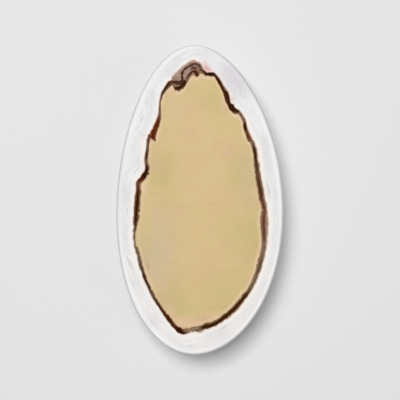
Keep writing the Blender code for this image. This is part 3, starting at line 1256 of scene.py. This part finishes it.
@dataclass(frozen=True)
class AlmondSkin(Layer):
    """The brown skin: a thin double bowl whose torn rim shows as the dark line in the cut.

    Sizes are in millimetres.

    Attributes:
        depth, thickness: its depth, and how much less deep its inside is.
        columns, wall_rows, rim_rows: the grid's columns and rows.
        top_fall: the angle of the walls' top rows down from the rim, in radians.
        sunk: how far its rim lies under the cut plane.
        edge_drop, edge_power: how far the rim's two edges drop, and how suddenly.
        level, sag: how far the rim stands up, and how far its middle sags.
        crumple: the rim's relief.
        redness, mauveness: how red and how mauve it is, 0 to 1.
    """

    name = "torn_almond_skin"
    node = "almond_skin"
    slot = Slot.SKIN
    finish: SkinFinish = SkinFinish()
    depth: float = 4.58
    thickness: float = 0.4
    columns: int = 1800
    wall_rows: int = 9
    rim_rows: int = 24
    top_fall: float = 0.07
    sunk: float = 0.07
    edge_drop: float = 0.05
    edge_power: int = 6
    level: tuple[Swell, ...] = (
        Swell(27, 0.08, 2),
        Swell(42, 0.14, 4),
        Swell(100, 0.05, 12),
        Swell(118, 0.12, 3),
        Swell(149, 0.16, 3),
        Swell(164, 0.08, 2),
        Swell(198, -0.1, 4),
        Swell(261, 0.06, 3),
        Swell(271, -0.1, 4),
    )
    sag: tuple[Swell, ...] = (
        Swell(92, 0.2, 8),
        Swell(108, 0.24, 7),
    )
    crumple: tuple[Ripples, ...] = (
        Ripples(wavelength=0.55, height=0.03, seed=41),
        Ripples(wavelength=0.25, height=0.012, seed=42),
    )
    redness: tuple[Swell, ...] = (
        Swell(27, 0.8, 2.5),
        Swell(82, 0.9, 5),
        Swell(118, 0.7, 3),
        Swell(149, 1.0, 5),
        Swell(174, 0.6, 4),
        Swell(250, 0.5, 8),
        Swell(352, 0.6, 8),
    )
    mauveness: tuple[Swell, ...] = (
        Swell(49, 0.35, 4),
        Swell(88, 0.9, 8),
        Swell(104, 0.9, 9),
        Swell(348, 0.8, 7),
    )

    def surface(self) -> Surface:
        """The skin's surface, up its outside, over its torn rim and down its inside.

        The rim's height is its level plus its crumple, less a drop that is a power of the distance
        from its middle, and less a sag that is half a sine wave across it.

        Returns:
            The grid, and what is kept on its vertices.
        """
        turn = turns(self.columns)
        keel = np.array(self.outlines.keel)
        outside, inside = self.outlines.skin_outside(turn), self.outlines.skin_inside(turn)
        falls = np.linspace(math.pi / 2, self.top_fall, self.wall_rows)
        up = bowl(outside, keel, self.depth, 2.0, falls)
        down = bowl(inside, keel, self.depth - self.thickness, 2.0, falls[::-1])
        shares = np.linspace(0, 1, self.rim_rows)
        rim = span(outside, inside, shares)
        drop = self.edge_drop * np.abs(2 * shares - 1)[:, None] ** self.edge_power
        sag = np.sin(math.pi * shares)[:, None] * swell_sum(turn, self.sag)[None]
        level = swell_sum(turn, self.level)[None] - self.sunk
        rim[..., 2] = level - drop - sag + sum(r.at(rim) for r in self.crumple)
        grid = np.concatenate([up, rim, down])
        return grid, self._tones(turn, shares)

    def _tones(self, turn: np.ndarray, shares: np.ndarray) -> dict[str, np.ndarray]:
        """What the finish reads: distances from the dark middle and the outer edge, and the tints.

        Args:
            turn: the columns' angles, in radians.
            shares: the rim rows' shares of the way from the outside to the inside.

        Returns:
            Numbers for each row and column.
        """
        start, end = self.outlines.skin_start(turn), self.outlines.skin_end(turn)
        share = np.concatenate([np.zeros(self.wall_rows), shares, np.ones(self.wall_rows)])[:, None]
        inset = start + (end - start) * share
        core = np.abs(inset - self.outlines.torn(turn, "core"))
        tints = {
            "pale": self.outlines.torn(turn, "pale"),
            "red": swell_sum(turn, self.redness),
            "mauve": np.clip(swell_sum(turn, self.mauveness), 0, 1),
        }
        kept = {key: np.broadcast_to(tint, core.shape) for key, tint in tints.items()}
        return kept | {"core": core, "outer": inset - start}


@dataclass(frozen=True)
class AlmondKernel(Layer):
    """The almond itself: a flat cut face with a soft edge, over a round belly.

    Sizes are in millimetres.

    Attributes:
        depth: the belly's depth.
        sunk: how far its relief is sunk under the cut plane.
        edge_round: the radius of its edge.
        columns, belly_rows, edge_rows, face_rows: the grid's columns and rows.
        face_spacing: the power that crowds the face's rows towards the keel.
        relief, relief_depth: its relief, and how far down from the cut that reaches.
        ring_stretch: how many times as long as wide the patterns along the skin are.
        wide_ease, close_ease: the shares of the way round over which the distances from the
            skin are smoothed.
        greyed, greened, pinked: spots of colour on the cut.
    """

    name = "cut_almond"
    node = "almond_kernel"
    slot = Slot.FLESH
    finish: FleshFinish = FleshFinish()
    depth: float = 4.0
    sunk: float = 0.03
    edge_round: float = 0.12
    columns: int = 960
    belly_rows: int = 14
    edge_rows: int = 5
    face_rows: int = 64
    face_spacing: float = 1.6
    relief: tuple[Ripples, ...] = (
        Ripples(wavelength=5.0, height=0.012, seed=51),
        Ripples(wavelength=1.1, height=0.004, seed=52),
    )
    relief_depth: float = 0.5
    ring_stretch: float = 5.0
    wide_ease: float = 1 / 90
    close_ease: float = 1 / 500
    greyed: tuple[Spot, ...] = (
        Spot(-4.4, -5.6, 1.7, 0.75, 2.2),
        Spot(4.9, 2.6, 0.9, 0.4, 3.0),
        Spot(-2.6, 9.6, 0.9, 0.35, 1.6),
    )
    greened: tuple[Spot, ...] = (
        Spot(1.2, 10.6, 1.1, 0.6, 1.3),
        Spot(3.2, 8.0, 0.8, 0.4),
        Spot(-1.4, -11.2, 2.2, 0.6, 0.5),
        Spot(5.2, -3.2, 0.9, 0.35, 2.4),
        Spot(3.3, -3.4, 1.7, 0.4, 0.7),
        Spot(2.2, -9.4, 1.8, 0.4),
        Spot(-5.3, -3.0, 0.6, 0.4, 3.0),
    )
    pinked: tuple[Spot, ...] = (
        Spot(-1.6, -12.5, 1.5, 0.8, 0.4),
        Spot(-3.1, -11.6, 0.5, 0.6, 1.4),
        Spot(1.3, -12.1, 0.9, 0.5, 0.6),
        Spot(-3.0, 11.3, 0.4, 0.9, 0.8),
        Spot(0.2, 12.6, 0.5, 0.8, 0.5),
        Spot(-0.8, 12.3, 0.5, 0.5, 0.6),
        Spot(-5.6, 1.2, 0.35, 0.5, 3.5),
        Spot(2.5, 9.9, 0.35, 0.6, 2.0),
    )

    def surface(self) -> Surface:
        """The kernel's surface, from under its belly up to its edge and over its cut face.

        A face row's share of the way to the keel is 1 less a power of what is left of its number.
        The relief only sinks the cut, and fades out below it.

        Returns:
            The grid, and what is kept on its vertices.
        """
        turn = turns(self.columns)
        keel = np.array(self.outlines.keel)
        edge = self.outlines.kernel_edge(turn)
        arms = edge - keel
        lengths = np.linalg.norm(arms, axis=-1, keepdims=True)
        first = math.asin(self.edge_round / self.depth)
        falls = np.linspace(math.pi / 2, first, self.belly_rows)
        belly = bowl(edge, keel, self.depth, 2.0, falls)
        soft = self._soft_edge(edge, arms / lengths)
        rim = edge - arms / lengths * self.edge_round
        shares = 1 - (1 - np.linspace(0, 1, self.face_rows + 1)[1:]) ** self.face_spacing
        face = span(rim, np.broadcast_to(keel, rim.shape), shares)
        grid = np.concatenate([belly, soft, face])
        relief = sum(r.at(grid) for r in self.relief) - self.sunk
        near_cut = smooth_step(grid[..., 2], -self.relief_depth, 0.0)
        grid[..., 2] += np.minimum(relief, 0) * near_cut
        out = np.linalg.norm(grid[..., :2] - keel, axis=-1)
        inside = softened(lengths[:, 0], self.columns * self.wide_ease) - out
        near = softened(lengths[:, 0], self.columns * self.close_ease) - out
        rings = np.concatenate([grid[..., :2] / self.ring_stretch, inside[..., None]], axis=-1) * MM
        spots = {"greyed": self.greyed, "greened": self.greened, "pinked": self.pinked}
        kept = {key: spotted(grid, group) for key, group in spots.items()}
        return grid, kept | {"inside": inside, "near": near, "rings": rings}

    def _soft_edge(self, edge: np.ndarray, away: np.ndarray) -> np.ndarray:
        """The kernel's soft edge: a quarter of an upright circle from the belly to the face.

        Each row goes in by the radius times 1 less the cosine of its angle, and lies under the cut
        by the radius times 1 less its sine.

        Args:
            edge: x, y round the kernel.
            away: the unit step away from the keel, for each column.

        Returns:
            Its rows, without the first.
        """
        angles = np.linspace(0, math.pi / 2, self.edge_rows + 1)[1:]
        insets = self.edge_round * (1 - np.cos(angles))
        sinks = -self.edge_round * (1 - np.sin(angles))
        flat = edge[None] - away[None] * insets[:, None, None]
        depths = np.broadcast_to(sinks[:, None, None], (*flat.shape[:2], 1))
        return np.concatenate([flat, depths], axis=-1)


@dataclass(frozen=True)
class Strip:
    """A torn strip of skin that stands on its edge in the cut.

    Attributes:
        path: x, y points that it passes, in millimetres on the cut plane.
        top: how high its edge stands over the cut plane, in millimetres.
        thickness: its thickness, in millimetres.
        curl: how far its top leans to the left of the path, for each square millimetre of height.
        red: how red it is, 0 to 1.
        mauve: how mauve it is, 0 to 1.
        pale: how pale it is, 0 to 1.
    """

    path: tuple[tuple[float, float], ...]
    top: float = 0.08
    thickness: float = 0.14
    curl: float = 0.0
    red: float = 0.3
    mauve: float = 0.0
    pale: float = 0.0

    def line(self, rows: int) -> np.ndarray:
        """Points along the path: a smooth curve through its points.

        Each leg is a cubic of the way along it, and at a point the curve goes the way of the line
        between its two neighbours.

        Args:
            rows: how many points.

        Returns:
            x, y of each.
        """
        points = np.array(self.path)
        ends = np.concatenate([[2 * points[0] - points[1]], points, [2 * points[-1] - points[-2]]])
        along = np.linspace(0, len(points) - 1, rows)
        leg = np.minimum(along.astype(int), len(points) - 2)
        t = (along - leg)[:, None]
        a, b, c, d = (ends[leg + step] for step in range(4))
        bend, twist = 2 * a - 5 * b + 4 * c - d, 3 * b - a - 3 * c + d
        return 0.5 * (2 * b + (c - a) * t + bend * t**2 + twist * t**3)


@dataclass(frozen=True)
class TornStrips:
    """The ragged tuft of skin by the pointed end, as strips that curl and loop.

    Sizes are in millimetres.

    Attributes:
        plane: the cut plane.
        finish: their looks.
        foot: the level of their lower edges.
        rows, columns: the grid's points along a strip and round it.
        wide_power, tall_power: how square a strip's section is, 1 for an oval.
        end_power, end_drop: how suddenly its ends shrink, and how far they drop.
        ragged, ragged_side: the unevenness of its upper edge, and the share of that in its sides.
        strips: the strips.
    """

    plane: CutPlane
    finish: SkinFinish = SkinFinish()
    foot: float = -0.45
    rows: int = 170
    columns: int = 16
    wide_power: float = 0.6
    tall_power: float = 0.8
    end_power: float = 0.35
    end_drop: float = 0.15
    ragged: tuple[Ripples, ...] = (
        Ripples(wavelength=0.5, height=0.05, seed=61),
        Ripples(wavelength=0.2, height=0.015, seed=62),
    )
    ragged_side: float = 0.4
    strips: tuple[Strip, ...] = (
        Strip(
            path=(
                (-2.58, 11.5), (-2.38, 11.42), (-2.15, 11.46), (-1.85, 11.64),
                (-1.6, 11.9), (-1.52, 12.25),
            ),
            top=0.15,
            thickness=0.36,
            curl=-0.2,
        ),
        Strip(
            path=(
                (-3.35, 11.8), (-3.0, 12.0), (-2.6, 12.02), (-2.2, 11.98),
                (-1.85, 12.1), (-1.7, 12.3),
            ),
            top=0.1,
            thickness=0.4,
            mauve=0.8,
            pale=0.25,
        ),
        Strip(
            path=(
                (-1.72, 12.0), (-1.82, 12.4), (-1.84, 12.85), (-1.72, 13.2),
                (-1.45, 13.48), (-1.2, 13.64),
            ),
            top=0.1,
            thickness=0.2,
            curl=-0.2,
            mauve=0.9,
            pale=0.25,
        ),
        Strip(
            path=(
                (-1.2, 13.58), (-0.95, 13.8), (-0.65, 13.95), (-0.3, 13.9),
                (-0.03, 13.7), (0.12, 13.4), (0.36, 13.14),
            ),
            top=0.08,
            thickness=0.22,
            curl=-0.25,
            mauve=1.0,
            pale=0.55,
        ),
        Strip(
            path=((-1.36, 12.3), (-1.18, 12.62), (-0.92, 12.92), (-0.62, 13.12), (-0.4, 13.05)),
            top=0.08,
            thickness=0.2,
            curl=0.2,
            red=1.0,
            pale=0.4,
        ),
        Strip(
            path=((-0.64, 13.14), (-0.46, 13.04), (-0.33, 12.86), (-0.26, 12.62)),
            top=0.14,
            thickness=0.32,
            curl=0.2,
            red=1.0,
        ),
        Strip(
            path=((-0.98, 13.25), (-0.72, 13.52), (-0.38, 13.5), (-0.12, 13.25)),
            top=-0.02,
            thickness=0.16,
            curl=-0.3,
            red=0.8,
            mauve=0.5,
            pale=0.6,
        ),
        Strip(
            path=((-0.15, 13.22), (0.15, 13.2), (0.42, 13.08), (0.7, 12.96)),
            top=0.04,
            thickness=0.24,
            curl=0.2,
            red=0.8,
            mauve=0.4,
            pale=0.35,
        ),
    )

    def surface(self, strip: Strip) -> Surface:
        """One strip's surface: a rounded tall section carried along its path.

        The section's point at an angle lies half a thickness times its cosine to the left of the
        path, and half the strip's height times its sine up, both drawn out to a squarer shape. It
        leans by the curl times the height squared, and shrinks at both ends.

        Args:
            strip: the strip.

        Returns:
            The grid, and what is kept on its vertices.
        """
        line = strip.line(self.rows)
        ahead = np.gradient(line, axis=0)
        ahead /= np.linalg.norm(ahead, axis=1, keepdims=True)
        left = np.stack([-ahead[:, 1], ahead[:, 0]], axis=-1)
        place = np.concatenate([line, np.zeros((self.rows, 1))], axis=-1)
        ends = np.sin(np.linspace(0, math.pi, self.rows)) ** self.end_power
        uneven = sum(r.at(place) for r in self.ragged)
        top = (strip.top + uneven) * ends - self.end_drop * (1 - ends)
        angle = turns(self.columns)
        wide = np.sign(np.cos(angle)) * np.abs(np.cos(angle)) ** self.wide_power
        tall = np.sign(np.sin(angle)) * np.abs(np.sin(angle)) ** self.tall_power
        middle, half = (top + self.foot) / 2, (top - self.foot) / 2
        z = middle[:, None] + half[:, None] * tall[None]
        sides = strip.thickness / 2 + uneven * self.ragged_side
        aside = sides[:, None] * ends[:, None] * wide[None]
        aside += strip.curl * (z - self.foot) ** 2
        flat = line[:, None] + left[:, None] * aside[..., None]
        grid = np.concatenate([flat, z[..., None]], axis=-1)
        grid[0], grid[-1] = grid[0].mean(0), grid[-1].mean(0)
        tints = {"pale": strip.pale, "red": strip.red, "mauve": strip.mauve, "outer": 1.0}
        kept = {key: np.full(grid.shape[:2], tint) for key, tint in tints.items()}
        kept["core"] = np.abs(aside - aside.mean(axis=1, keepdims=True))
        return grid, kept

    def build(self) -> list[bpy.types.Object]:
        """Makes the strips.

        Returns:
            The pieces.
        """
        material = self.finish.material()
        pieces = []
        for number, strip in enumerate(self.strips, start=1):
            piece = self.plane.close(f"skin_strip_{number}", *self.surface(strip))
            piece.data.materials.append(material)
            pieces.append(settle(piece, Slot.SKIN))
        return pieces


@dataclass(frozen=True)
class Lamp:
    """A soft square white lamp that points at the object.

    Attributes:
        name: its name.
        place: where it stands, in metres.
        side: its size, in metres.
        power: its power, in watts.
    """

    name: str
    place: tuple[float, float, float]
    side: float
    power: float

    def build(self) -> bpy.types.Object:
        """Makes the lamp.

        Returns:
            The lamp.
        """
        light = bpy.data.lights.new(self.name, "AREA")
        light.shape = "SQUARE"
        light.size = self.side
        light.energy = self.power
        lamp = bpy.data.objects.new(self.name, light)
        lamp.location = self.place
        lamp.rotation_euler = (-lamp.location).to_track_quat("-Z", "Y").to_euler()
        bpy.context.scene.collection.objects.link(lamp)
        return lamp


@dataclass(frozen=True)
class Studio:
    """The floor, the lamps and the camera, which looks straight down on the cut face.

    Attributes:
        floor_colour, floor_roughness: the floor's finish.
        floor_side: its size, in metres.
        sky: the strength of the even light from all round.
        fill_share: how much of the picture's height the object takes.
        lens: the camera's focal length, in millimetres.
        lamps: the lamps.
    """

    floor_colour: Colour = screen_colour(224, 224, 224)
    floor_roughness: float = 0.8
    floor_side: float = 4.0
    sky: float = 0.24
    fill_share: float = 0.78
    lens: float = 100.0
    lamps: tuple[Lamp, ...] = (
        Lamp("key_lamp", (-0.07, 0.114, 0.45), side=0.18, power=1.75),
        Lamp("fill_lamp", (0.3, -0.12, 0.34), side=0.4, power=0.22),
    )

    def floor(self) -> bpy.types.Object:
        """A plain pale floor.

        Returns:
            The floor.
        """
        material = Graph("pale_floor").finish(self.floor_colour, self.floor_roughness)
        half = self.floor_side / 2
        corners = [(-half, -half, 0), (half, -half, 0), (half, half, 0), (-half, half, 0)]
        mesh = bpy.data.meshes.new("floor")
        mesh.from_pydata(corners, [], [(0, 1, 2, 3)])
        mesh.materials.append(material)
        floor = bpy.data.objects.new("floor", mesh)
        bpy.context.scene.collection.objects.link(floor)
        floor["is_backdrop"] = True
        return floor

    def light(self) -> None:
        """Lights the object from all round and from the lamps."""
        world = bpy.data.worlds.new("studio")
        world.use_nodes = True
        background = world.node_tree.nodes["Background"]
        background.inputs["Color"].default_value = (1.0, 1.0, 1.0, 1.0)
        background.inputs["Strength"].default_value = self.sky
        bpy.context.scene.world = world
        for lamp in self.lamps:
            lamp.build()

    def camera(self) -> bpy.types.Object:
        """A camera over the middle of the object, with the pointed end at the top of the picture.

        Returns:
            The camera.
        """
        low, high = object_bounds()
        seen = (high.y - low.y) / self.fill_share
        optics = bpy.data.cameras.new("camera")
        optics.lens = self.lens
        distance = optics.lens * seen / optics.sensor_width
        camera = bpy.data.objects.new("camera", optics)
        camera.location = ((low.x + high.x) / 2, (low.y + high.y) / 2, high.z + distance)
        optics.clip_start = MM
        bpy.context.scene.collection.objects.link(camera)
        bpy.context.scene.camera = camera
        return camera

    def build(self) -> None:
        """Sets up the floor, the light and the camera, with plain screen colours."""
        self.floor()
        self.light()
        self.camera()
        view = bpy.context.scene.view_settings
        view.view_transform = "Standard"
        view.look = "None"


def main() -> None:
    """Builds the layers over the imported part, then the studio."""
    logging.basicConfig(level=logging.INFO, format="%(name)s: %(message)s")
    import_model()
    outlines = Outlines()
    plane = CutPlane.of(outlines.sugar_edge(turns(ALL_ROUND)))
    for layer in (SugarShell, AlmondSkin, AlmondKernel):
        layer(outlines, plane).build()
    TornStrips(plane).build()
    Studio().build()


if __name__ == "__main__":
    main()
